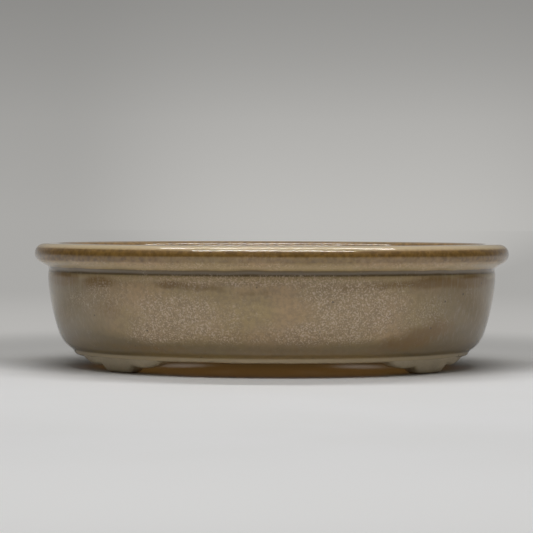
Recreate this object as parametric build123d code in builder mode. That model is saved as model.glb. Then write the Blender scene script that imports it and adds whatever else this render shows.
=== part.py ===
"""Oval bonsai pot in glazed stoneware, built from its clay pieces and its glaze.

The pot is a four-centre oval in plan: two end arcs and two longer side arcs that meet
tangentially. Every ring-shaped piece has one cross-section, drawn once with x as the
distance outward from the rim's outer edge and y as the height, and turned about the
centre of each arc in turn. Units are millimetres, +Z is up, +X runs along the length
and the origin is on the ground under the middle of the pot.
"""

import os
from math import atan2, cos, degrees, radians, sin, sqrt

from build123d import *

# Overall size and plan
length = 150.0
width = 118.0
height = 39.0
end_radius = 50.0

# Rolled rim and the groove under it
bead_radius = 3.2
inner_bead_radius = 2.5
under_rim_slope = 30.0
groove_radius = 1.0
groove_depth = 0.35

# Wall: a long upper curve that starts upright, then a tight curve to the toe
wall_thickness = 4.5
wall_setback = 4.25
side_curve_radius = 54.3
knee_angle = 21.0
toe_curve_radius = 9.0
toe_angle = 61.7

# Floor slab, with its drainage and tie-wire holes
foot_height = 4.25
base_edge_setback = 13.0
drain_hole_radius = 6.5
drain_hole_spacing = 56.0
wire_hole_radius = 1.75
wire_hole_spacing_x = 26.0
wire_hole_spacing_y = 46.0

# Glaze
glaze_thickness = 0.4
inner_glaze_depth = 8.0

# Cloud feet
foot_length = 35.0
foot_flat_width = 7.0
foot_lobe_width = 13.5
foot_cusp_height = 2.0
foot_side_lobe_height = 1.55
foot_side_lobe_reach = 10.0
foot_top_setback = 13.4
foot_top_depth = 7.5
foot_sole_setback = 15.4
foot_sole_depth = 5.0
foot_edge_radius = 0.4

# Plan of the oval: side arcs that meet the end arcs at join_angle from the X axis
end_centre_x = length / 2 - end_radius
side_radius = ((length / 2) ** 2 + (width / 2) ** 2 - length * end_radius) / (
    width - 2 * end_radius
)
side_centre_y = side_radius - width / 2
join_angle = degrees(atan2(side_centre_y, end_centre_x))

# Each arc as (centre, radius, start angle, sweep)
oval_arcs = [
    (Vector(end_centre_x, 0), end_radius, -join_angle, 2 * join_angle),
    (Vector(0, -side_centre_y), side_radius, join_angle, 180 - 2 * join_angle),
    (Vector(-end_centre_x, 0), end_radius, 180 - join_angle, 2 * join_angle),
    (Vector(0, side_centre_y), side_radius, 180 + join_angle, 180 - 2 * join_angle),
]


def polar(radius, angle):
    """Vector of the given length at an angle in degrees from the first axis."""
    return Vector(radius * cos(radians(angle)), radius * sin(radians(angle)))


def section_plane(arc):
    """Upright plane where an arc starts: x outward from the rim's edge, y up."""
    centre, radius, start, _ = arc
    outward = polar(1, start)
    return Plane(
        origin=centre + outward * radius,
        x_dir=outward,
        z_dir=Vector(outward.Y, -outward.X),
    )


def arc_axis(arc):
    """Upright axis through the centre of one plan arc."""
    return Axis(arc[0], (0, 0, 1))


# Key points of the rim's section: a sloped line is tangent to the bead and the groove
bead_centre = Vector(-bead_radius, height - bead_radius)
slope = radians(under_rim_slope)
groove_x = groove_radius - wall_setback - groove_depth
groove_drop = (
    bead_radius + groove_radius - (groove_x - bead_centre.X) * sin(slope)
) / cos(slope)
groove_centre = Vector(groove_x, bead_centre.Y - groove_drop)
bead_end = bead_centre + polar(bead_radius, under_rim_slope - 90)
groove_top = groove_centre - polar(groove_radius, under_rim_slope - 90)
crease_drop = sqrt(groove_radius**2 - (groove_x + wall_setback) ** 2)
crease = Vector(-wall_setback, groove_centre.Y - crease_drop)

# Key points of the wall's section: it runs from the crease by the knee to the toe
side_centre = crease - Vector(side_curve_radius, 0)
knee = side_centre + polar(side_curve_radius, -knee_angle)
toe_centre = knee - polar(toe_curve_radius, -knee_angle)
toe = toe_centre + polar(toe_curve_radius, -toe_angle)
base_edge = Vector(-base_edge_setback, foot_height)

# Inner face of the clay, one wall thickness inside, and of the glaze above its line
inner_side_curve_radius = side_curve_radius - wall_thickness
inner_toe_radius = toe_curve_radius - wall_thickness
floor_rim = toe_centre - Vector(0, inner_toe_radius)
floor_thickness = floor_rim.Y - foot_height
wall_inner = -wall_setback - wall_thickness
glaze_inner = wall_inner - glaze_thickness
glaze_line = height - inner_glaze_depth
inner_bead_centre = Vector(glaze_inner + inner_bead_radius, height - inner_bead_radius)

# Radius of the foot's middle lobe, from its flat sole up to the cusp
foot_lobe_run = (foot_lobe_width - foot_flat_width) / 2
foot_lobe_radius = (foot_lobe_run**2 + foot_cusp_height**2) / (2 * foot_cusp_height)

# Fired surface from the toe of the wall, up over the rim to the glaze line inside
with BuildLine() as fired_surface:
    CenterArc(toe_centre, toe_curve_radius, -toe_angle, toe_angle - knee_angle)
    CenterArc(side_centre, side_curve_radius, -knee_angle, knee_angle)
    RadiusArc(crease, groove_top, groove_radius)
    Line(groove_top, bead_end)
    CenterArc(bead_centre, bead_radius, under_rim_slope - 90, 180 - under_rim_slope)
    Line((bead_centre.X, height), (inner_bead_centre.X, height))
    CenterArc(inner_bead_centre, inner_bead_radius, 90, 90)
    Line((glaze_inner, inner_bead_centre.Y), (glaze_inner, glaze_line))

# Glaze section: a coat of even thickness under that surface and the floor's edge
with BuildSketch() as glaze_section:
    with BuildLine():
        Line(base_edge * 2 - toe, toe)
        add(fired_surface.line)
        offset(amount=glaze_thickness, side=Side.LEFT)
    make_face()
    split(bisect_by=Plane.XZ.offset(-foot_height), keep=Keep.BOTTOM)

# Clay section of the wall and rim, down to the mitred joint with the floor
with BuildSketch() as side_section:
    with BuildLine():
        add(fired_surface.line)
        Line((glaze_inner, glaze_line), (wall_inner, glaze_line))
        Line((wall_inner, glaze_line), (wall_inner, crease.Y))
        CenterArc(side_centre, inner_side_curve_radius, 0, -knee_angle)
        CenterArc(toe_centre, inner_toe_radius, -knee_angle, knee_angle - 90)
        Line(floor_rim, toe)
    make_face()
    add(glaze_section.sketch, mode=Mode.SUBTRACT)

# The rim is coiled onto the wall at the crease
with BuildSketch() as rim_section:
    add(side_section.sketch)
    split(bisect_by=Plane.XZ.offset(-crease.Y), keep=Keep.BOTTOM)

with BuildSketch() as wall_section:
    add(side_section.sketch)
    split(bisect_by=Plane.XZ.offset(-crease.Y), keep=Keep.TOP)

# Clay section of the floor's edge, outside the inner corner
with BuildSketch() as floor_edge_section:
    with BuildLine():
        Polyline(toe, base_edge, (floor_rim.X, foot_height), floor_rim, close=True)
    make_face()
    add(glaze_section.sketch, mode=Mode.SUBTRACT)

# Clay section of the feet, leaning inward to a narrower sole
with BuildSketch() as foot_section:
    with BuildLine():
        Polyline(
            (-foot_top_setback, foot_height),
            (-foot_sole_setback, 0),
            (-foot_sole_setback - foot_sole_depth, 0),
            (-foot_top_setback - foot_top_depth, foot_height),
            close=True,
        )
    make_face()

# Rolled rim
with BuildPart() as rim:
    for arc in oval_arcs:
        with BuildSketch(section_plane(arc)):
            add(rim_section.sketch)
        revolve(axis=arc_axis(arc), revolution_arc=arc[3])

# Wall
with BuildPart() as wall:
    for arc in oval_arcs:
        with BuildSketch(section_plane(arc)):
            add(wall_section.sketch)
        revolve(axis=arc_axis(arc), revolution_arc=arc[3])

# Glaze coat
with BuildPart() as glaze_coat:
    for arc in oval_arcs:
        with BuildSketch(section_plane(arc)):
            add(glaze_section.sketch)
        revolve(axis=arc_axis(arc), revolution_arc=arc[3])

# Floor slab: a flat oval plate, its shaped edge, and the holes
with BuildPart() as floor_slab:
    with BuildSketch(Plane.XY.offset(foot_height)):
        with BuildLine():
            for centre, radius, start, sweep in oval_arcs:
                CenterArc(centre, radius + floor_rim.X, start, sweep)
        make_face()
    extrude(amount=floor_thickness)
    for arc in oval_arcs:
        with BuildSketch(section_plane(arc)):
            add(floor_edge_section.sketch)
        revolve(axis=arc_axis(arc), revolution_arc=arc[3])
    with GridLocations(drain_hole_spacing, 0, 2, 1):
        Hole(drain_hole_radius)
    with GridLocations(wire_hole_spacing_x, wire_hole_spacing_y, 2, 2):
        Hole(wire_hole_radius)

# Ring of clay that the four feet are cut from
with BuildPart() as foot_ring:
    for arc in oval_arcs:
        with BuildSketch(section_plane(arc)):
            add(foot_section.sketch)
        revolve(axis=arc_axis(arc), revolution_arc=arc[3])

pieces = {"rim": rim, "wall": wall, "floor_slab": floor_slab, "glaze_coat": glaze_coat}

# Cloud feet, centred where the plan arcs join and cut to a lobed outline seen face on
corner_arcs = {"back_right": 1, "back_left": 2, "front_left": 3, "front_right": 0}
for corner, arc_number in corner_arcs.items():
    start_plane = section_plane(oval_arcs[arc_number])
    outward = start_plane.x_dir
    with BuildPart() as foot:
        add(foot_ring.part)
        with BuildSketch(Plane(start_plane.origin, Vector(-outward.Y, outward.X), outward)):
            with BuildLine():
                Line((0, 0), (foot_flat_width / 2, 0))
                lobe = RadiusArc(
                    (foot_flat_width / 2, 0),
                    (foot_lobe_width / 2, foot_cusp_height),
                    -foot_lobe_radius,
                )
                ThreePointArc(
                    lobe @ 1,
                    (foot_side_lobe_reach, foot_side_lobe_height),
                    (foot_length / 2, foot_height),
                )
                Line((foot_length / 2, foot_height), (0, foot_height))
                mirror(about=Plane.YZ)
            make_face()
        extrude(amount=-foot_top_setback - 2 * foot_top_depth, mode=Mode.INTERSECT)
        fillet(foot.edges().group_by(Axis.Z)[0], foot_edge_radius)
    pieces[f"foot_{corner}"] = foot

os.makedirs("parts", exist_ok=True)
for name, piece in pieces.items():
    piece.part.label = name
    export_step(piece.part, f"parts/{name}.step")
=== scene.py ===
import math

import bpy
import numpy as np
from mathutils import Matrix, Vector, geometry


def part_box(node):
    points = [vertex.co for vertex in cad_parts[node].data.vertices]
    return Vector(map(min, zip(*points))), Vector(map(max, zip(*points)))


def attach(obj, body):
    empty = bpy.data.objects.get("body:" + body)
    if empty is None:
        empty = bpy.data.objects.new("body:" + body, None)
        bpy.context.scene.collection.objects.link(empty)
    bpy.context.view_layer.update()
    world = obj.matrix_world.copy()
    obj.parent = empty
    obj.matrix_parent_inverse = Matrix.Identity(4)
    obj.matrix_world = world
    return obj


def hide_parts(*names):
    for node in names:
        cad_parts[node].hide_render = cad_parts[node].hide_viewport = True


# ---------------------------------------------------------------------------
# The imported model, and the sizes of the pot. Shapes are worked out in
# millimetres, with +Z up, and turned into metres when a mesh is made.
# ---------------------------------------------------------------------------

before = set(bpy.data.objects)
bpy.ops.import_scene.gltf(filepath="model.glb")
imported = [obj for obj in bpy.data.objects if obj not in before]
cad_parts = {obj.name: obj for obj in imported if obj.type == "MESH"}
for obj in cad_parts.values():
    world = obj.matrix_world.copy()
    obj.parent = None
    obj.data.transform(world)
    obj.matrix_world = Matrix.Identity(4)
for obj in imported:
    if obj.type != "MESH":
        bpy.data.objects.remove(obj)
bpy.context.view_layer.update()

MM = 0.001
coat_low, coat_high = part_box("glaze_coat")
HALF_LENGTH = (coat_high.x - coat_low.x) / 2 / MM
HALF_WIDTH = (coat_high.y - coat_low.y) / 2 / MM
HEIGHT = coat_high.z / MM
BASE = coat_low.z / MM

# Section of the fired surface: x is the distance outward from the rim's edge
BEAD_RADIUS = 3.2
INNER_BEAD_RADIUS = 2.5
UNDER_RIM_SLOPE = 30
GROOVE_RADIUS = 1.0
NECK = -4.6
WALL_OUTER = -4.25
WALL_THICKNESS = 4.5
SIDE_CURVE_RADIUS = 54.3
KNEE_ANGLE = 21
TOE_CURVE_RADIUS = 9.0
TOE_ANGLE = 61.7
BASE_EDGE = -13.0
GLAZE = 0.4
GLAZE_LINE = 31.0

# Plan of the oval's ends in the solid model, and the feet
END_RADIUS = 50.0
FOOT_FLAT = 7.0
FOOT_SETBACK = 15.0
FOOT_HALF_LENGTH = 18.3
FOOT_OUTER = BASE_EDGE
FOOT_OUTER_LEAN = 0.32
FOOT_INNER = -20.9
FOOT_INNER_LEAN = 0.12
LEFT_FOOT_INWARD = 2.4
RIGHT_FOOT_OUTWARD = 1.9

# How finely the glaze is divided: sections round the pot, and the step along a section
TURNS = 640
COAT_STEP = 0.5


# ---------------------------------------------------------------------------
# The oval
# ---------------------------------------------------------------------------

def oval(angle, outward):
    """Points at a distance outward from the rim's outer edge, and the outward normals."""
    normal = np.stack([np.cos(angle) / HALF_LENGTH, np.sin(angle) / HALF_WIDTH], -1)
    normal /= np.linalg.norm(normal, axis=-1, keepdims=True)
    rim = np.stack([HALF_LENGTH * np.cos(angle), HALF_WIDTH * np.sin(angle)], -1)
    return rim + np.asarray(outward)[..., None] * normal, normal


def even_turns(count):
    """Angles that step evenly along the rim."""
    fine = np.linspace(0, 2 * np.pi, 20001)
    points, _ = oval(fine, np.zeros_like(fine))
    steps = np.linalg.norm(np.diff(points, axis=0), axis=1)
    run = np.concatenate([[0], np.cumsum(steps)])
    return np.interp(np.linspace(0, run[-1], count, endpoint=False), run, fine)


def waves(share, seed, lowest, highest, fade=1.0):
    """A smooth closed wander round the pot, from -1 to 1 or so. share runs from 0 to 1."""
    random = np.random.default_rng(seed)
    total = np.zeros_like(share)
    weight = 0.0
    for count in range(lowest, highest + 1):
        size = random.uniform(0.5, 1.0) / count**fade
        total += size * np.sin(2 * np.pi * (count * share + random.uniform()))
        weight += size**2
    return total / math.sqrt(weight / 2) / 2


# ---------------------------------------------------------------------------
# Sections
# ---------------------------------------------------------------------------

def polar(radius, angle):
    """Vector of a length at an angle in degrees."""
    return np.array([radius * math.cos(math.radians(angle)), radius * math.sin(math.radians(angle))])


def line(start, end, step=0.5):
    """Evenly spaced points from start to end."""
    count = max(2, int(math.dist(start, end) / step) + 1)
    return np.linspace(start, end, count)


def arc(centre, radius, start, sweep, step=0.5):
    """Evenly spaced points along an arc, with its angles in degrees."""
    count = max(3, int(abs(math.radians(sweep)) * radius / step) + 1)
    turns = [start + sweep * k / (count - 1) for k in range(count)]
    return np.array([np.asarray(centre) + polar(radius, turn) for turn in turns])


def join(*parts):
    """One run of points from several that meet end to end."""
    kept = [parts[0]]
    for part in parts[1:]:
        same = np.allclose(part[0], kept[-1][-1], atol=1e-4)
        kept.append(part[1:] if same else part)
    return np.concatenate(kept)


def resample(points, step):
    """The same run with evenly spaced points."""
    run = np.concatenate([[0], np.cumsum(np.linalg.norm(np.diff(points, axis=0), axis=1))])
    even = np.linspace(0, run[-1], int(run[-1] / step) + 1)
    return np.stack([np.interp(even, run, points[:, k]) for k in (0, 1)], -1)


def soften(points, passes):
    """Rounds off creases, with the ends held."""
    points = points.copy()
    for _ in range(passes):
        points[1:-1] = (points[:-2] + 2 * points[1:-1] + points[2:]) / 4
    return points


# The same construction as in the solid model
bead_centre = np.array([-BEAD_RADIUS, HEIGHT - BEAD_RADIUS])
slope = math.radians(UNDER_RIM_SLOPE)
groove_x = NECK + GROOVE_RADIUS
groove_drop = (BEAD_RADIUS + GROOVE_RADIUS - (groove_x - bead_centre[0]) * math.sin(slope)) / math.cos(slope)
groove_centre = np.array([groove_x, bead_centre[1] - groove_drop])
crease_drop = math.sqrt(GROOVE_RADIUS**2 - (groove_x - WALL_OUTER) ** 2)
crease = np.array([WALL_OUTER, groove_centre[1] - crease_drop])
crease_angle = math.degrees(math.asin(crease_drop / GROOVE_RADIUS))
side_centre = crease - [SIDE_CURVE_RADIUS, 0]
knee = side_centre + polar(SIDE_CURVE_RADIUS, -KNEE_ANGLE)
toe_centre = knee - polar(TOE_CURVE_RADIUS, -KNEE_ANGLE)
toe = toe_centre + polar(TOE_CURVE_RADIUS, -TOE_ANGLE)
base_edge = np.array([BASE_EDGE, BASE])
inner_wall = WALL_OUTER - WALL_THICKNESS
inner_toe_radius = TOE_CURVE_RADIUS - WALL_THICKNESS
floor_rim = toe_centre - [0, inner_toe_radius]
inner_bead_centre = np.array([inner_wall - GLAZE + INNER_BEAD_RADIUS, HEIGHT - INNER_BEAD_RADIUS])


def fired_surface(step):
    """The glazed surface from the base edge, up and over the rim to the glaze line inside."""
    bead_end = bead_centre + polar(BEAD_RADIUS, UNDER_RIM_SLOPE - 90)
    groove_top = groove_centre - polar(GROOVE_RADIUS, UNDER_RIM_SLOPE - 90)
    groove_start = 180 + crease_angle
    groove_end = 90 + UNDER_RIM_SLOPE
    return join(
        line(base_edge, toe, step),
        arc(toe_centre, TOE_CURVE_RADIUS, -TOE_ANGLE, TOE_ANGLE - KNEE_ANGLE, step),
        arc(side_centre, SIDE_CURVE_RADIUS, -KNEE_ANGLE, KNEE_ANGLE, step),
        arc(groove_centre, GROOVE_RADIUS, groove_start, groove_end - groove_start, step),
        line(groove_top, bead_end, step),
        arc(bead_centre, BEAD_RADIUS, UNDER_RIM_SLOPE - 90, 180 - UNDER_RIM_SLOPE, step),
        line((bead_centre[0], HEIGHT), (inner_bead_centre[0], HEIGHT), step),
        arc(inner_bead_centre, INNER_BEAD_RADIUS, 90, 90, step),
        line((inner_wall - GLAZE, inner_bead_centre[1]), (inner_wall - GLAZE, GLAZE_LINE), step),
    )


def section_normals(points):
    """Unit normals on the right of a run of points, which is the air side of the glaze."""
    along = np.gradient(points, axis=0)
    along /= np.linalg.norm(along, axis=1, keepdims=True)
    return np.stack([along[:, 1], -along[:, 0]], -1)


# ---------------------------------------------------------------------------
# Meshes
# ---------------------------------------------------------------------------

angles = even_turns(TURNS)
share = np.arange(TURNS) / TURNS


def mesh_piece(name, points, faces, material, marks=None):
    """A smooth mesh object from points in millimetres. marks are numbers for each point."""
    mesh = bpy.data.meshes.new(name)
    mesh.from_pydata((np.asarray(points) * MM).tolist(), [], faces)
    for mark, values in (marks or {}).items():
        attribute = mesh.attributes.new(mark, "FLOAT", "POINT")
        attribute.data.foreach_set("value", np.asarray(values, np.float32).ravel())
    mesh.polygons.foreach_set("use_smooth", [True] * len(mesh.polygons))
    mesh.materials.append(material)
    mesh.update()
    piece = bpy.data.objects.new(name, mesh)
    bpy.context.scene.collection.objects.link(piece)
    return piece


def stand_for(piece, node):
    """The piece rides on the pot and is shown in place of a node of the solid model."""
    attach(piece, "root")
    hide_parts(node)


def grid_faces(rows, columns, close_rows=True, close_columns=True):
    """Quads over a grid of points, counted row by row."""
    down = np.arange(rows if close_rows else rows - 1)
    across = np.arange(columns if close_columns else columns - 1)
    i, j = np.meshgrid(down, across, indexing="ij")
    next_i = (i + 1) % rows
    next_j = (j + 1) % columns
    quads = [i * columns + j, next_i * columns + j, next_i * columns + next_j, i * columns + next_j]
    return np.stack(quads, -1).reshape(-1, 4).tolist()


def ring_points(turns, outward, height):
    """Points of a ring, from its section at each of the turns."""
    plan, _ = oval(turns[:, None], outward)
    return np.concatenate([plan, height[..., None]], -1).reshape(-1, 3)


def hump(x, centre, reach):
    """A soft hump, 1 at the centre and 0 from reach away."""
    near = np.clip(1 - np.abs(x - centre) / reach, 0, 1)
    return near * near * (3 - 2 * near)


def rise(x, start, end):
    """A smooth step from 0 at start to 1 at end."""
    t = np.clip((x - start) / (end - start), 0, 1)
    return t * t * (3 - 2 * t)


def band(x, start, full, fade, end):
    """A smooth band: 0 before start, 1 from full to fade, and 0 after end."""
    return rise(x, start, full) * (1 - rise(x, fade, end))


# ---------------------------------------------------------------------------
# Materials
# ---------------------------------------------------------------------------

def tone(red, green, blue):
    """A colour given as it looks on a display, from 0 to 255, as a shader takes it."""
    values = [c / 255 for c in (red, green, blue)]
    return (*[c / 12.92 if c <= 0.04045 else ((c + 0.055) / 1.055) ** 2.4 for c in values], 1)


class Nodes:
    """Short calls that add nodes to a node tree and return their outputs."""

    def __init__(self, tree):
        self.tree = tree
        tree.nodes.clear()

    def feed(self, socket, value):
        if isinstance(value, bpy.types.NodeSocket):
            self.tree.links.new(value, socket)
        else:
            socket.default_value = value

    def add(self, kind, inputs=None, **settings):
        node = self.tree.nodes.new(kind)
        for name, value in settings.items():
            setattr(node, name, value)
        for name, value in (inputs or {}).items():
            self.feed(node.inputs[name], value)
        return node

    def place(self):
        return self.add("ShaderNodeTexCoord").outputs["Object"]

    def mark(self, name):
        return self.add("ShaderNodeAttribute", attribute_name=name).outputs["Fac"]

    def noise(self, place, size, detail=2.0, roughness=0.5):
        """Soft noise around 0.5, with features of a size in millimetres."""
        inputs = {"Vector": place, "Scale": 1 / (size * MM), "Detail": detail, "Roughness": roughness}
        return self.add("ShaderNodeTexNoise", inputs).outputs["Fac"]

    def cells(self, place, size):
        """Distance from the middle of a cell of a size in millimetres, and the cell's chance number."""
        node = self.add("ShaderNodeTexVoronoi", {"Vector": place, "Scale": 1 / (size * MM)})
        return node.outputs["Distance"], self.split(node.outputs["Color"])[0]

    def stretch(self, place, x, y, z):
        return self.add("ShaderNodeMapping", {"Vector": place, "Scale": (x, y, z)}).outputs["Vector"]

    def split(self, vector):
        return self.add("ShaderNodeSeparateXYZ", {"Vector": vector}).outputs

    def maths(self, operation, a, b=0.0):
        return self.add("ShaderNodeMath", {0: a, 1: b}, operation=operation).outputs[0]

    def times(self, a, b):
        return self.maths("MULTIPLY", a, b)

    def plus(self, a, b):
        return self.maths("ADD", a, b)

    def swing(self, value, size):
        """Noise around 0.5 turned into a swing of a size either way."""
        return self.times(self.maths("SUBTRACT", value, 0.5), 2 * size)

    def step(self, value, start, end, low=0.0, high=1.0):
        inputs = {"Value": value, "From Min": start, "From Max": end, "To Min": low, "To Max": high}
        return self.add("ShaderNodeMapRange", inputs, interpolation_type="SMOOTHSTEP").outputs["Result"]

    def mix(self, factor, a, b):
        node = self.add("ShaderNodeMix", {"Factor": factor}, data_type="RGBA")
        self.feed(node.inputs[6], a)
        self.feed(node.inputs[7], b)
        return node.outputs[2]

    def group(self, tree, vector):
        """Colour that a node group gives for a direction."""
        node = self.add("ShaderNodeGroup", node_tree=tree)
        self.feed(node.inputs[0], vector)
        return node.outputs[0]

    def relief(self, height, depth, normal=None):
        """A normal from relief of a depth in millimetres."""
        inputs = {"Height": height, "Distance": depth * MM, "Strength": 1.0}
        if normal is not None:
            inputs["Normal"] = normal
        return self.add("ShaderNodeBump", inputs).outputs["Normal"]

    def surface(self, **inputs):
        shader = self.add("ShaderNodeBsdfPrincipled")
        for name, value in inputs.items():
            self.feed(shader.inputs[name.replace("_", " ").title().replace("Ior", "IOR")], value)
        self.add("ShaderNodeOutputMaterial", {"Surface": shader.outputs[0]})


def new_material(name):
    made = bpy.data.materials.new(name)
    made.use_nodes = True
    return made, Nodes(made.node_tree)


def glaze_material():
    """Olive-beige glaze with pale crystals, broken to brown where it runs thin."""
    made, n = new_material("glaze")
    place = n.place()

    # Body of the glaze: slow drifts between olive and a pinker beige; darker and greener low down and at the
    # ends, partly the glaze's tone and partly painted shade
    body = n.mix(n.step(n.noise(place, 16, detail=3), 0.4, 0.6), tone(178, 151, 97), tone(190, 157, 110))
    body = n.mix(n.step(n.mark("crystals"), 0.2, 1.2, 0, 0.7), body, tone(184, 155, 116))
    body = n.mix(n.step(n.mark("olive"), 0, 1, 0, 0.8), body, tone(178, 152, 96))
    cloud = n.step(n.noise(place, 1.5, detail=4, roughness=0.65), 0.38, 0.66, 0, 0.5)
    body = n.mix(cloud, body, tone(142, 118, 80))
    # Partly painted shade: a darker olive low on the wall and towards both ends
    body = n.mix(n.step(n.mark("olive_tone_and_shade"), 0, 1, 0, 0.9), body, tone(114, 94, 50))
    # Partly painted light and reflection: cream at the crest and inside the rim top, a lighter band where
    # the rim shades the wall, and the base strip that faces the lit floor
    body = n.mix(n.step(n.mark("pale"), 0, 1, 0, 0.9), body, tone(204, 184, 146))
    # Partly painted shade under the lip, partly glaze pooled in the groove
    body = n.mix(n.step(n.mark("groove"), 0, 1, 0, 0.92), body, tone(94, 76, 44))

    # Brown breaks, with a ragged edge and thin runs downward
    ragged = n.swing(n.noise(place, 3.0, detail=4, roughness=0.55), 0.32)
    runs = n.swing(n.noise(n.stretch(place, 1, 1, 0.16), 1.3, detail=2), 0.25)
    height = n.split(place)[2]
    calmer_on_rim = n.step(height, 32.5 * MM, 33.5 * MM, 1.0, 0.4)
    brown = n.step(n.plus(n.mark("brown"), n.times(n.plus(ragged, runs), calmer_on_rim)), 0.1, 0.8)
    rust = n.mix(n.step(n.noise(place, 1.4, detail=3), 0.32, 0.7), tone(104, 73, 18), tone(140, 105, 44))
    stain = n.mix(n.step(height, 31 * MM, 32.5 * MM), tone(128, 94, 24), rust)
    colour = n.mix(n.times(brown, 0.9), body, stain)

    # Pale crystals in clouds
    blot = n.noise(place, 0.5, detail=2.5, roughness=0.6)
    patchy = n.plus(n.swing(n.noise(place, 5, detail=3), 0.6), n.swing(n.noise(place, 1.3, detail=2), 0.5))
    shown = n.step(n.plus(n.mark("crystals"), patchy), 0.05, 1.15)
    crystals = n.times(n.step(blot, 0.5, 0.62), shown)
    colour = n.mix(n.times(n.times(n.step(blot, 0.48, 0.36), shown), 0.3), colour, tone(126, 102, 72))
    colour = n.mix(n.times(crystals, 0.68), colour, tone(232, 210, 182))

    # Fine upright streaks, and a few iron spots
    streak = n.step(n.noise(n.stretch(place, 1, 1, 0.1), 0.8, detail=2), 0.5, 0.72, 0, 0.2)
    colour = n.mix(n.times(streak, n.mark("streaks")), colour, tone(196, 182, 156))
    distance, chance = n.cells(place, 5.5)
    iron = n.times(n.step(distance, 0.075, 0.04), n.step(chance, 0.6, 0.62))
    colour = n.mix(n.times(iron, 0.75), colour, tone(60, 42, 24))

    skin = n.plus(n.noise(place, 1.8, detail=2), n.times(crystals, 0.35))
    skin = n.times(skin, n.step(height, 35.5 * MM, 37 * MM, 1.0, 0.1))
    n.surface(
        base_color=colour,
        roughness=n.step(crystals, 0, 1, 0.34, 0.5),
        normal=n.relief(skin, 0.02),
        specular_ior_level=0.25,
        coat_weight=1.0,
        coat_roughness=0.022,
        coat_ior=1.65,
    )
    return made


def clay_material():
    """Bare stoneware: warm, matt and gritty, with drag marks from turning."""
    made, n = new_material("stoneware")
    place = n.place()
    colour = n.mix(n.step(n.noise(place, 24, detail=3), 0.35, 0.65), tone(178, 130, 82), tone(192, 146, 98))
    patchy = n.step(n.noise(place, 1.0, detail=4, roughness=0.7), 0.4, 0.75, 0, 0.5)
    colour = n.mix(patchy, colour, tone(142, 100, 60))
    distance, chance = n.cells(place, 1.4)
    dark = n.times(n.step(distance, 0.28, 0.12), n.step(chance, 0.8, 0.84))
    colour = n.mix(n.times(dark, 0.8), colour, tone(84, 58, 36))
    grit = n.noise(place, 0.5, detail=5, roughness=0.65)
    drag = n.noise(n.stretch(place, 1, 1, 7), 6, detail=3)
    n.surface(
        base_color=colour,
        roughness=n.step(grit, 0.3, 0.7, 0.72, 0.9),
        normal=n.relief(drag, 0.1, n.relief(grit, 0.06)),
    )
    return made


def foot_material():
    """A thin satin wash of glaze, wiped off the sole."""
    made, n = new_material("foot_glaze")
    place = n.place()
    colour = n.mix(n.step(n.noise(place, 7, detail=3), 0.35, 0.65), tone(192, 177, 147), tone(205, 189, 158))
    faint = n.step(n.noise(place, 0.9, detail=3), 0.45, 0.75, 0, 0.22)
    colour = n.mix(faint, colour, tone(162, 140, 104))
    height = n.plus(n.split(place)[2], n.swing(n.noise(place, 2), 0.25 * MM))
    colour = n.mix(n.step(height, 0.4 * MM, 0.1 * MM), colour, tone(176, 132, 86))
    n.surface(
        base_color=colour,
        roughness=n.step(n.noise(place, 1.5), 0.3, 0.7, 0.34, 0.5),
        normal=n.relief(n.noise(place, 1.2, detail=3), 0.03),
        coat_weight=0.35,
        coat_roughness=0.18,
    )
    return made


glaze = glaze_material()
stoneware = clay_material()
foot_glaze = foot_material()


# ---------------------------------------------------------------------------
# The glaze coat
# ---------------------------------------------------------------------------

def patches(x, z, spots):
    """Soft patches on the front face. Each spot is (x, z, reach in x, reach in z, strength)."""
    total = np.zeros(np.broadcast(x, z).shape)
    for spot_x, spot_z, reach_x, reach_z, strength in spots:
        total += strength * hump(x, spot_x, reach_x) * hump(z, spot_z, reach_z)
    return total


BROWN_SPOTS = [
    (-63, 28.3, 9, 3.4, 1.3),
    (62, 28.0, 8, 3.4, 1.1),
    (50, 28.0, 12, 3.0, 1.0),
    (38, 27.6, 10, 2.4, 0.5),
    (-50, 27.8, 8, 2.8, 0.9),
    (-27, 27.4, 9, 2.2, 0.75),
    (-16, 26.6, 10, 2.0, 0.55),
    (-2, 25.2, 14, 1.8, 0.45),
    (24, 26.4, 18, 1.6, 0.35),
    (-46, 20.0, 8, 6.0, 0.45),
    (47, 12.5, 16, 4.5, 0.75),
    (40, 9.5, 14, 3.5, 0.6),
    (52, 16.0, 8, 5.0, 0.5),
    (-34, 8.4, 26, 2.4, 0.5),
    (12, 8.0, 44, 2.0, 0.3),
]
CRYSTAL_SPOTS = [
    (-25, 18, 22, 11, 1.5),
    (-33, 12, 14, 5, 0.9),
    (-10, 11, 12, 5, 0.7),
    (26, 20, 22, 11, 1.5),
    (24, 25, 24, 4, 0.8),
    (14, 12, 26, 7, 1.3),
    (-50, 24, 20, 7, 0.5),
    (0, 29.0, 60, 3.2, 1.3),
    (-4, 20, 12, 8, 0.4),
    (46, 20, 14, 9, 0.4),
]
OLIVE_SPOTS = [
    (-3, 20, 12, 10, 1.0),
    (52, 18, 16, 12, 0.9),
    (-50, 20, 12, 12, 0.5),
]


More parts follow.
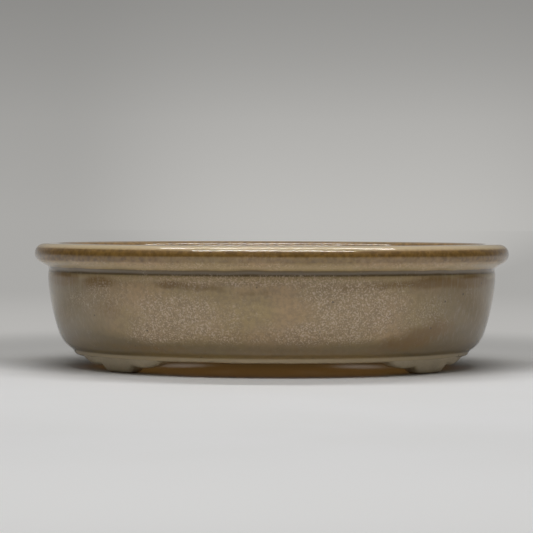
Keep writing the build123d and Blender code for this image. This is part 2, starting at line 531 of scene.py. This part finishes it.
def glaze_coat():
    """The glass over the outside, the rim and the top of the inside, with its colour marks."""
    face = soften(resample(fired_surface(COAT_STEP / 3), COAT_STEP), 2)
    normals = section_normals(face)
    run = np.arange(len(face)) * COAT_STEP
    whole = run[-1]
    outward, z = face[:, 0], face[:, 1]
    crest = int(np.argmax(z))
    outside = np.arange(len(face)) <= crest
    on_rim = rise(z, 31.0, 33.0)

    def wander(seed, lowest, highest, fade=1.0):
        """A soft wander over the whole coat, one row a turn."""
        random = np.random.default_rng(seed)
        total = np.zeros((TURNS, len(face)))
        for waves_up in (0.5, 1.1, 2.3):
            up = np.cos(2 * np.pi * (waves_up * run / whole + random.uniform()))
            total += waves(share, seed + int(10 * waves_up), lowest, highest, fade)[:, None] * up
        return total

    # A hand-made surface, rolled edges, and ends that droop and wander
    lift = wander(3, 2, 7) * (0.1 - 0.085 * on_rim) + 0.025 * wander(5, 8, 26) * (1 - 0.98 * on_rim)
    groove_edge = 0.16 * waves(share, 14, 4, 40, fade=0.4)[:, None] * hump(z, groove_centre[1] + 0.9, 1.1)
    lift = lift + groove_edge * outside
    base_roll = 0.13 * (0.6 + 0.4 * waves(share, 11, 5, 30, fade=0.5))
    lift = lift + base_roll[:, None] * hump(run, 0.5, 0.9)
    inner_roll = 0.2 * (0.7 + 0.3 * waves(share, 12, 4, 20))
    lift = lift + inner_roll[:, None] * hump(run, whole - 0.6, 1.3)
    droop = 0.14 * waves(share, 21, 3, 24, fade=0.6)[:, None] * (1 - rise(run, 0, 2.0))
    along = (toe - base_edge) / np.linalg.norm(toe - base_edge)
    poured = 1.0 * waves(share, 22, 2, 14, fade=0.8)[:, None] * rise(run, whole - 5, whole)
    shown_out = outward + lift * normals[:, 0] - droop * along[0]
    shown_up = z + lift * normals[:, 1] - droop * along[1] + poured

    # The hidden side, against the clay, runs back the same way. It takes every point where
    # the section is hollow, at the base and in the groove, so that it stays under the surface.
    hollow = (run < 4) | (outside & (z > 28.5) & (z < 33.5))
    back = [k for k in range(len(face) - 2, 0, -1) if hollow[k] or k % 5 == 0]
    hidden_out = np.broadcast_to(outward[back] - GLAZE * normals[back, 0], shown_out[:, back].shape)
    hidden_up = z[back] - GLAZE * normals[back, 1] + poured[:, back]
    points = ring_points(angles, np.hstack([shown_out, hidden_out]), np.hstack([shown_up, hidden_up]))
    columns = shown_out.shape[1] + hidden_out.shape[1]

    # Colour on the rim: a brown band, browner above, between pale bands that are partly painted light and
    # reflection
    plan, _ = oval(angles[:, None], outward)
    x = plan[..., 0]
    lip_band = band(z, 33.3, 34.3, 37.35, 37.75) * outside
    inner_band = hump(z, 38.0, 2.0) * ~outside
    uneven_band = 0.3 * waves(share, 31, 2, 9)[:, None] + 0.3 * rise(np.abs(x), 45, 65)
    bands = lip_band * (0.55 + 0.45 * rise(z, 35.6, 36.4)) * (1 + uneven_band)
    # Pale bands, partly painted light: the crest's cream is partly painted reflection, and the band at 29.4
    # mm is painted light where the rim shades the wall
    pale_and_lit_bands = 0.6 * hump(z, 32.6, 1.4) + 0.6 * hump(z, 29.4, 2.0) + 0.75 * rise(z, 37.5, 38.3)
    cream_and_reflection = outside * pale_and_lit_bands + 0.5 * ~outside * rise(z, 36, 38.6)

    # Colour on the wall: placed spots on the front face, chance ones all round, and a darker olive low down
    # and towards the ends that is partly painted shade
    front = rise(-plan[..., 1], 0, 12)
    wall = outside & (z < groove_centre[1])
    body = rise(z, 8.5, 12) * wall
    chance_stains = np.clip(0.35 + 0.5 * waves(share, 32, 2, 8), 0, 1)[:, None] * hump(z, 27.6, 2.0)
    stains = chance_stains * (1 - 0.6 * front) + front * patches(x, z, BROWN_SPOTS)
    chance_olive = 0.6 * np.clip(wander(43, 2, 6), 0, 1)
    olive = front * patches(x, z, OLIVE_SPOTS) + chance_olive * (1 - front)
    drifts = np.clip(0.35 + 0.5 * wander(41, 3, 9), 0, 1) * (1 - 0.8 * front)
    clouds = drifts + front * patches(x, z, CRYSTAL_SPOTS)
    # Partly painted shade, partly greener glaze: darker towards both ends
    end_tone_and_shade = (0.7 + 0.3 * (1 - rise(z, 9, 18))) * rise(np.abs(x), 28, 62)
    marks = {
        "brown": bands + 0.85 * inner_band + wall * stains,
        "crystals": body * clouds + 0.7 * hump(z, 33.0, 1.8) * outside,
        "olive": wall * olive,
        # Partly painted shade: darker low on the wall where it turns under, and at the ends
        "olive_tone_and_shade": wall * (0.8 * hump(z, 8.2, 5.4) + end_tone_and_shade),
        # Dark groove line: partly painted shade under the lip, partly pooled glaze
        "groove": outside * band(z, 29.9, 30.4, 31.5, 31.95) * np.ones_like(x),
        # The strip along the base edge: partly paler glaze on its roll, partly painted light from the lit
        # floor in front
        "pale": (cream_and_reflection + (1 - rise(z, 5.2, 6.1)) * wall) * np.ones_like(x),
        "streaks": wall * rise(np.abs(x), 40, 58) * rise(z, 8, 12),
    }
    hidden = np.zeros_like(hidden_out)
    marks = {name: np.hstack([values, hidden]) for name, values in marks.items()}
    piece = mesh_piece("glaze_skin", points, grid_faces(TURNS, columns), glaze, marks)
    stand_for(piece, "glaze_coat")


glaze_coat()


# ---------------------------------------------------------------------------
# The clay under it: rim, wall and floor
# ---------------------------------------------------------------------------

UNDER_GLAZE = GLAZE - 0.02
SMEAR_TOP = GLAZE_LINE + 2.0
SMEAR = 0.5


def clay_ring(name, node, outline):
    """A closed ring of clay, its outline running up the outside and down the inside.

    The inside of the wall has soft dents from throwing.
    """
    section = soften(resample(np.concatenate([outline, outline[:1]]), 0.8), 1)[:-1]
    turns = slice(0, TURNS, 2)
    inside = (section[:, 0] < inner_wall + 0.2) * hump(section[:, 1], 20, 11)
    dents = 0.14 * waves(share, 51, 3, 18, fade=0.5)[turns, None] * np.cos(section[:, 1] / 3.1) * inside
    height = np.broadcast_to(section[:, 1], dents.shape)
    points = ring_points(angles[turns], section[:, 0] + dents, height)
    piece = mesh_piece(name, points, grid_faces(len(dents), len(section)), stoneware)
    stand_for(piece, node)


def rim_and_wall():
    """The rim's coil sits on the wall, and its joint is smeared over on the inside."""
    fired = fired_surface(0.25)
    clay = fired - UNDER_GLAZE * section_normals(fired)
    above = clay[:, 1] > crease[1]
    hidden = (clay[:, 0] < inner_wall + 1) & (clay[:, 1] < SMEAR_TOP + 0.3)
    rim_outline = np.concatenate([
        clay[above & ~hidden],
        line((inner_wall, SMEAR_TOP + 0.3), (inner_wall + SMEAR, SMEAR_TOP), 0.2),
        line((inner_wall + SMEAR, SMEAR_TOP), (inner_wall + SMEAR, crease[1])),
    ])
    clay_ring("rim_coil", "rim", rim_outline)

    first = int(np.argmin(np.linalg.norm(fired - toe, axis=1)))
    outer = (np.arange(len(clay)) >= first) & ~above & (clay[:, 0] > BASE_EDGE)
    wall_outline = np.concatenate([
        clay[outer],
        line((inner_wall + SMEAR, crease[1]), (inner_wall + SMEAR, SMEAR_TOP)),
        line((inner_wall, SMEAR_TOP), (inner_wall, crease[1])),
        arc(side_centre, SIDE_CURVE_RADIUS - WALL_THICKNESS, 0, -KNEE_ANGLE),
        arc(toe_centre, inner_toe_radius, -KNEE_ANGLE, KNEE_ANGLE - 90),
        [floor_rim - [1.0, 0.12]],
    ])
    clay_ring("wall_body", "wall", wall_outline)


rim_and_wall()


def uneven(x, y, seed, longest=34, waves_count=9):
    """A gently uneven surface over the plan, from -1 to 1 or so."""
    random = np.random.default_rng(seed)
    total = np.zeros(np.shape(x))
    for _ in range(waves_count):
        way = random.uniform(0, np.pi)
        across = (x * math.cos(way) + y * math.sin(way)) / random.uniform(0.3 * longest, longest)
        total += np.sin(2 * np.pi * (across + random.uniform()))
    return total / math.sqrt(waves_count)


class Shell:
    """Points and faces of one closed piece, added ring by ring and plate by plate."""

    def __init__(self):
        self.points = []
        self.faces = []

    def ring(self, xy, z):
        first = len(self.points)
        self.points += [(x, y, z) for x, y in xy]
        return list(range(first, first + len(xy)))

    def band(self, lower, upper):
        """Faces between two rings, seen from outside an anticlockwise pair."""
        for k in range(len(lower)):
            after = (k + 1) % len(lower)
            self.faces.append((lower[k], lower[after], upper[after], upper[k]))

    def plate(self, rings, z, inner_points, heights, upward):
        """A flat plate between an outer ring and hole rings, with loose points inside it."""
        hole_of = {number: hole for hole, ring in enumerate(rings[1:]) for number in ring}
        numbers = [number for ring in rings for number in ring]
        flat = [Vector(self.points[number][:2]) for number in numbers]
        edges = []
        first = 0
        for ring in rings:
            edges += [(first + k, first + (k + 1) % len(ring)) for k in range(len(ring))]
            first += len(ring)
        numbers += list(range(len(self.points), len(self.points) + len(inner_points)))
        self.points += [(x, y, z + up) for (x, y), up in zip(inner_points, heights)]
        flat += [Vector(point) for point in inner_points]
        made = geometry.delaunay_2d_cdt(flat, edges, [], 0, 1e-6)
        origin = [numbers[old[0]] for old in made[3]]
        for face in made[2]:
            corners = [origin[k] for k in face]
            holes_met = {hole_of.get(number) for number in corners}
            if len(holes_met) == 1 and None not in holes_met:
                continue
            a, b, c = (made[0][k] for k in face[:3])
            anticlockwise = (b - a).cross(c - a) > 0
            self.faces.append(corners if anticlockwise == upward else corners[::-1])


# Holes as (x, y, radius), and how far their edges are rounded
DRAIN_RADIUS = 6.5
WIRE_RADIUS = 1.75
DRAIN_HOLES = [(x, 0, DRAIN_RADIUS) for x in (-28, 28)]
WIRE_HOLES = [(x, y, WIRE_RADIUS) for x in (-13, 13) for y in (-23, 23)]
ROUNDING = {DRAIN_RADIUS: 0.8, WIRE_RADIUS: 0.4}
FLOOR_GRID = 2.0


def floor_plate():
    """The flat floor with its edge under the wall, and holes with softened edges."""
    shell = Shell()
    turns = angles[::4]
    top, bottom = floor_rim[1], BASE
    top_plan, _ = oval(turns, np.full(len(turns), floor_rim[0] + 0.5))
    toe_plan, _ = oval(turns, np.full(len(turns), toe[0] - UNDER_GLAZE))
    base_plan, _ = oval(turns, np.full(len(turns), BASE_EDGE - UNDER_GLAZE))
    top_ring = shell.ring(top_plan, top - 0.05)
    toe_ring = shell.ring(toe_plan, toe[1] - 0.1)
    base_ring = shell.ring(base_plan, bottom + 0.03)
    shell.band(base_ring, toe_ring)
    shell.band(toe_ring, top_ring)

    holes = DRAIN_HOLES + WIRE_HOLES
    top_rings, base_rings = [top_ring], [base_ring]
    for number, (x, y, radius) in enumerate(holes):
        count = max(28, int(radius * 12))
        around = 2 * np.pi * np.arange(count) / count
        cut = radius + 0.02 * radius * waves(around / (2 * np.pi), 60 + number, 2, 5)
        soft = ROUNDING[radius]
        rings = []
        for edge, way in ((top, 1), (bottom, -1)):
            for turn in np.linspace(0, np.pi / 2, 5)[::way]:
                reach = cut + soft * (1 - math.sin(turn))
                z = edge - way * soft * (1 - math.cos(turn))
                edge_line = np.stack([x + reach * np.cos(around), y + reach * np.sin(around)], -1)
                rings.append(shell.ring(edge_line, z))
        for upper, lower in zip(rings, rings[1:]):
            shell.band(upper, lower)
        top_rings.append(rings[0])
        base_rings.append(rings[-1])

    def clear_of_holes(x, y):
        gaps = [np.hypot(x - a, y - b) - radius - ROUNDING[radius] for a, b, radius in holes]
        return np.min(gaps, axis=0)

    def plate_points(outward):
        """Loose points on a grid, clear of all edges, and how freely the surface may move there."""
        plan, _ = oval(angles, np.full(TURNS, outward))
        bearing = np.unwrap(np.arctan2(plan[:, 1], plan[:, 0]))
        reach = np.hypot(plan[:, 0], plan[:, 1])
        offset = FLOOR_GRID / 3
        x, y = np.meshgrid(np.arange(-70, 70, FLOOR_GRID) + offset, np.arange(-54, 54, FLOOR_GRID) + offset)
        x, y = x.ravel(), y.ravel()
        edge = np.interp(np.arctan2(y, x), bearing, reach, period=2 * np.pi)
        inside = edge - np.hypot(x, y)
        kept = (inside > 0.6 * FLOOR_GRID) & (clear_of_holes(x, y) > 0.5 * FLOOR_GRID)
        free = rise(np.minimum(inside, clear_of_holes(x, y)), 0, 7)
        return x[kept], y[kept], free[kept]

    x, y, free = plate_points(floor_rim[0] + 0.5)
    shell.plate(top_rings, top, list(zip(x, y)), 0.16 * free * uneven(x, y, 71), True)
    x, y, free = plate_points(BASE_EDGE - UNDER_GLAZE)
    lift = 0.05 + 0.14 * free * uneven(x, y, 72)
    shell.plate(base_rings, bottom, list(zip(x, y)), np.maximum(lift, 0.0), False)
    piece = mesh_piece("floor_plate", shell.points, shell.faces, stoneware)
    stand_for(piece, "floor_slab")


floor_plate()


# ---------------------------------------------------------------------------
# The cloud feet
# ---------------------------------------------------------------------------

# Where the solid model's side and end arcs meet, which is the middle of each foot
side_arc_radius = (HALF_LENGTH**2 + HALF_WIDTH**2 - 2 * HALF_LENGTH * END_RADIUS) / (
    2 * (HALF_WIDTH - END_RADIUS)
)
foot_bearing = math.atan2(side_arc_radius - HALF_WIDTH, HALF_LENGTH - END_RADIUS)
foot_x = HALF_LENGTH - END_RADIUS + (END_RADIUS - FOOT_SETBACK) * math.cos(foot_bearing)


def turn_at(x):
    """Angle on the oval, in the right back quarter, where the middle of a foot has a given x."""
    turns = np.linspace(np.pi / 2, 0, 2001)
    plan, _ = oval(turns, np.full(len(turns), -FOOT_SETBACK))
    return float(np.interp(x, plan[:, 0], turns))


def lobe_height(run, flat, middle_radius, side_reach, side_height, side_radius):
    """Height of the foot's lower edge at a distance along it: a middle lobe and one to each side."""
    past_flat = np.clip(np.abs(run) - flat / 2, 0, middle_radius)
    middle = middle_radius - np.sqrt(np.maximum(middle_radius**2 - past_flat**2, 0))
    middle = middle + 40 * np.clip(np.abs(run) - flat / 2 - middle_radius, 0, None)
    past_side = np.clip(np.abs(run) - side_reach, -side_radius, side_radius)
    side = side_height + side_radius - np.sqrt(side_radius**2 - past_side**2)
    blend = 0.18
    lower = -blend * np.log(np.exp(-middle / blend) + np.exp(-side / blend))
    return lower * (1 - np.exp(-3 * np.minimum(middle, side)))


def cloud_foot(corner, turn, seed):
    """A lobed foot, swept along the oval with its middle at one turn."""
    random = np.random.default_rng(seed)
    stations = np.linspace(-FOOT_HALF_LENGTH, FOOT_HALF_LENGTH, 150)
    sizes = dict(
        flat=FOOT_FLAT * random.uniform(0.86, 0.96),
        middle_radius=3.64 * random.uniform(1.0, 1.08),
        side_reach=10.0 * random.uniform(0.98, 1.03),
        side_height=1.85 + random.uniform(-0.1, 0.15),
        side_radius=11.8,
    )
    low = np.minimum(lobe_height(stations, **sizes), BASE + 0.6)
    proud = 0.12 * (1 - rise(low, BASE - 1.2, BASE - 0.1))

    # Angle on the oval at each station, by length along the middle of the foot
    fine = turn + np.linspace(-0.45, 0.45, 1801)
    middle_line, _ = oval(fine, np.full(len(fine), -FOOT_SETBACK))
    steps = np.linalg.norm(np.diff(middle_line, axis=0), axis=1)
    length_along = np.concatenate([[0], np.cumsum(steps)])
    turns = np.interp(stations + np.interp(turn, fine, length_along), length_along, fine)

    top = BASE + 1.25
    sections = []
    for bottom in low:
        corner_radius = min(1.0, 0.45 * (top - bottom))
        outer = np.array([FOOT_OUTER + FOOT_OUTER_LEAN * (z - BASE) for z in (top, bottom)])
        inner = np.array([FOOT_INNER + FOOT_INNER_LEAN * (BASE - z) for z in (top, bottom)])
        section = join(
            line((outer[0], top), (outer[1] + FOOT_OUTER_LEAN * corner_radius, bottom + corner_radius)),
            np.array([(outer[1] - 0.45 * corner_radius * FOOT_OUTER_LEAN, bottom + 0.3 * corner_radius)]),
            np.array([(outer[1] - corner_radius, bottom)]),
            line((outer[1] - corner_radius, bottom), (inner[1] + corner_radius, bottom)),
            np.array([(inner[1] + 0.3 * corner_radius, bottom + 0.3 * corner_radius)]),
            line((inner[1], bottom + corner_radius), (inner[0], top)),
        )
        even = resample(section, 0.1)
        picks = np.linspace(0, len(even) - 1, 42).astype(int)
        sections.append(even[picks])
    grid = np.array(sections)
    for _ in range(4):
        grid[1:-1, 1:-1] = (
            grid[:-2, 1:-1] + grid[2:, 1:-1] + grid[1:-1, :-2] + grid[1:-1, 2:] + 2 * grid[1:-1, 1:-1]
        ) / 6
    sunk = 0.35 * rise(grid[..., 1], BASE + 0.2, top)
    face = np.linspace(0, 1, grid.shape[1]) < 0.5
    outward = grid[..., 0] + (proud[:, None] - 0.02 - sunk) * face
    height = np.maximum(grid[..., 1], 0.0)
    plan, normal = oval(turns[:, None], outward)
    lumps = 0.07 * uneven(plan[..., 0] * 2.2 + 3 * height, plan[..., 1] * 2.2, seed)
    plan = plan + (lumps * rise(height, 0.2, 1.5))[..., None] * normal
    points = np.concatenate([plan, height[..., None]], -1).reshape(-1, 3)
    rows, columns = height.shape
    faces = grid_faces(rows, columns, close_rows=False)
    faces.append(list(range(columns)))
    faces.append(list(range((rows - 1) * columns, rows * columns))[::-1])
    piece = mesh_piece(f"cloud_foot_{corner}", points, [face[::-1] for face in faces], foot_glaze)
    stand_for(piece, f"foot_{corner}")


# Stuck on by hand, so the front ones are not quite even
for number, (corner, turn) in enumerate([
    ("back_right", turn_at(foot_x)),
    ("back_left", np.pi - turn_at(foot_x)),
    ("front_left", np.pi + turn_at(foot_x - LEFT_FOOT_INWARD)),
    ("front_right", 2 * np.pi - turn_at(foot_x + RIGHT_FOOT_OUTWARD)),
]):
    cloud_foot(corner, turn, 81 + number)


# ---------------------------------------------------------------------------
# Backdrop, floor, lights and camera
# ---------------------------------------------------------------------------

# Brightness of the light tent, by the upward part of the direction
TENT_STOPS = [
    (-0.1, 0.42),
    (0.0, 0.4),
    (0.05, 0.358),
    (0.083, 0.305),
    (0.112, 0.268),
    (0.17, 0.23),
    (0.3, 0.24),
    (0.6, 0.28),
    (1.0, 0.3),
]

# The two strips of lamps, and the camera, in millimetres and degrees
STRIP_SIZE = (370, 10)
STRIP_X = 7
STRIP_HEIGHT = 400
CAMERA_LENS = 127.7
CAMERA_DISTANCE = 600
CAMERA_HEIGHT = 47.4
CAMERA_BEARING = 2.5
CAMERA_AIM = 2.642
CAMERA_DROP = 1.506
CAMERA_ROLL = 0.15


def backdrop_tone():
    """Brightness of the light tent in a direction: a pale glow behind the pot, and a lit ceiling."""
    group = bpy.data.node_groups.new("backdrop_tone", "ShaderNodeTree")
    group.interface.new_socket("Direction", in_out="INPUT", socket_type="NodeSocketVector")
    group.interface.new_socket("Colour", in_out="OUTPUT", socket_type="NodeSocketColor")
    n = Nodes(group)
    source = n.add("NodeGroupInput").outputs[0]
    direction = n.add("ShaderNodeVectorMath", {0: source}, operation="NORMALIZE").outputs[0]
    x, y, z = n.split(direction)
    ramp = n.add("ShaderNodeValToRGB", {"Fac": n.maths("DIVIDE", n.plus(z, 0.1), 1.1)})
    while len(ramp.color_ramp.elements) < len(TENT_STOPS):
        ramp.color_ramp.elements.new(0.5)
    for element, (height, value) in zip(ramp.color_ramp.elements, TENT_STOPS):
        element.position = (height + 0.1) / 1.1
        element.color = (value, 0.985 * value, 0.95 * value, 1)
    level = n.maths("SQRT", n.plus(n.times(x, x), n.times(y, y)))
    behind = n.maths("DIVIDE", y, n.maths("MAXIMUM", level, 0.001))
    glow = n.step(behind, 0.988, 1.0, 0.0, 0.27)
    low = n.step(z, 0.12, 0.0, 0.35, 1.0)
    front = n.step(behind, 0.3, 0.955, 0.24, 1.0)
    upward = n.step(z, 0.3, 0.9)
    front = n.plus(front, n.times(n.maths("SUBTRACT", 1.0, front), upward))
    strength = n.times(n.plus(1.0, n.times(glow, low)), front)
    colour = n.add("ShaderNodeVectorMath", {0: ramp.outputs["Color"], "Scale": strength}, operation="SCALE")
    n.add("NodeGroupOutput", {0: colour.outputs[0]})
    return group


tent = backdrop_tone()


def light_tent():
    world = bpy.data.worlds.new("light_tent")
    world.use_nodes = True
    n = Nodes(world.node_tree)
    direction = n.add("ShaderNodeTexCoord").outputs["Generated"]
    background = n.add("ShaderNodeBackground", {"Color": n.group(tent, direction)})
    n.add("ShaderNodeOutputWorld", {"Surface": background.outputs[0]})
    bpy.context.scene.world = world


def floor_sheet():
    """A pale paper sweep with painted light in front of the pot and painted shadow behind it; behind the pot
    it glows, at a set tone close by and in the backdrop's tone further off.
    """
    made, n = new_material("pale_paper")
    place = n.place()
    x, y, _ = n.split(place)
    reach = n.maths("SQRT", n.plus(n.times(x, x), n.times(y, y)))
    level = n.add("ShaderNodeVectorMath", {0: place, 1: (1, 1, 0)}, operation="MULTIPLY").outputs[0]
    # Painted light: behind the pot the floor glows at a set tone instead of taking lamp light, and far off
    # in the backdrop's tone
    rear = n.mix(n.step(reach, 0.1, 0.2), (0.4, 0.394, 0.38, 1), (0.468, 0.46, 0.445, 1))
    rear = n.mix(n.step(reach, 0.2, 0.65), rear, (0.4, 0.394, 0.38, 1))
    rear = n.mix(n.step(reach, 0.7, 1.4), rear, n.group(tent, level))
    glow = n.add("ShaderNodeEmission", {"Color": rear, "Strength": 1.0})
    cloud = n.step(n.noise(place, 60, detail=3), 0.3, 0.7)
    colour = n.mix(cloud, (0.76, 0.76, 0.76, 1), (0.775, 0.775, 0.78, 1))
    # Painted light: the paper is whiter in front of the pot
    colour = n.mix(n.step(y, -0.18, -0.34), colour, (0.95, 0.95, 0.95, 1))
    # Painted shadow: the paper is darker from just behind the pot backward
    colour = n.mix(n.step(y, -0.03, 0.025), colour, (0.47, 0.465, 0.455, 1))
    paper = n.add("ShaderNodeBsdfPrincipled", {"Base Color": colour, "Roughness": 0.85})
    paper.inputs["Specular IOR Level"].default_value = 0.25
    behind = n.step(y, -0.022, 0.03)
    near = n.times(n.step(reach, 0.1, 0.22), behind)
    far = n.step(reach, 0.6, 1.3)
    painted = n.maths("MAXIMUM", near, far)
    mix = n.add("ShaderNodeMixShader", {0: painted, 1: paper.outputs[0], 2: glow.outputs[0]})
    n.add("ShaderNodeOutputMaterial", {"Surface": mix.outputs[0]})
    size = 6000
    corners = [(-size, -size, 0), (size, -size, 0), (size, size, 0), (-size, size, 0)]
    sheet = mesh_piece("floor_sheet", corners, [(0, 1, 2, 3)], made)


def strip_light(name, y, power):
    """One of the two thin strips of lamps on the tent's ceiling, along the pot's length."""
    lamp = bpy.data.lights.new(name, "AREA")
    lamp.shape = "RECTANGLE"
    lamp.size = STRIP_SIZE[0] * MM
    lamp.size_y = STRIP_SIZE[1] * MM
    lamp.energy = power
    holder = bpy.data.objects.new(name, lamp)
    holder.location = (STRIP_X * MM, y * MM, STRIP_HEIGHT * MM)
    holder.visible_camera = False
    bpy.context.scene.collection.objects.link(holder)


def gap_glow():
    """Warm light that the bare clay throws at the floor."""
    lamp = bpy.data.lights.new("gap_glow", "AREA")
    lamp.shape = "ELLIPSE"
    lamp.size = 1.5 * HALF_LENGTH * MM
    lamp.size_y = 1.3 * HALF_WIDTH * MM
    lamp.energy = 0.0013
    lamp.color = (1.0, 0.6, 0.17)
    holder = bpy.data.objects.new("gap_glow", lamp)
    holder.location = (0, 0, 0.9 * BASE * MM)
    holder.visible_camera = False
    bpy.context.scene.collection.objects.link(holder)


def gap_flag():
    """An unseen plate that keeps the lamps' light out of the gap under the pot."""
    edge = [(46 * math.cos(t), 34 * math.sin(t), 0.95 * BASE) for t in even_turns(48)]
    flag = mesh_piece("gap_flag", edge, [tuple(range(len(edge)))], stoneware)
    for way in ("camera", "diffuse", "glossy", "transmission", "volume_scatter"):
        setattr(flag, f"visible_{way}", False)


def camera():
    """Low in front of the pot, a little to its right."""
    data = bpy.data.cameras.new("camera")
    data.lens = CAMERA_LENS
    data.sensor_width = 36
    data.clip_start = 0.01
    holder = bpy.data.objects.new("camera", data)
    bearing = math.radians(CAMERA_BEARING)
    x, y = CAMERA_DISTANCE * math.sin(bearing), -CAMERA_DISTANCE * math.cos(bearing)
    holder.location = (x * MM, y * MM, CAMERA_HEIGHT * MM)
    turned = Matrix.Rotation(math.radians(CAMERA_AIM), 3, "Z")
    turned = turned @ Matrix.Rotation(math.radians(90 - CAMERA_DROP), 3, "X")
    turned = turned @ Matrix.Rotation(math.radians(CAMERA_ROLL), 3, "Z")
    holder.rotation_euler = turned.to_euler()
    bpy.context.scene.collection.objects.link(holder)
    bpy.context.scene.camera = holder


light_tent()
floor_sheet()
strip_light("rear_strip", 46, 0.62)
strip_light("front_strip", -188, 0.74)
gap_glow()
gap_flag()
camera()
bpy.context.scene.view_settings.view_transform = "Standard"
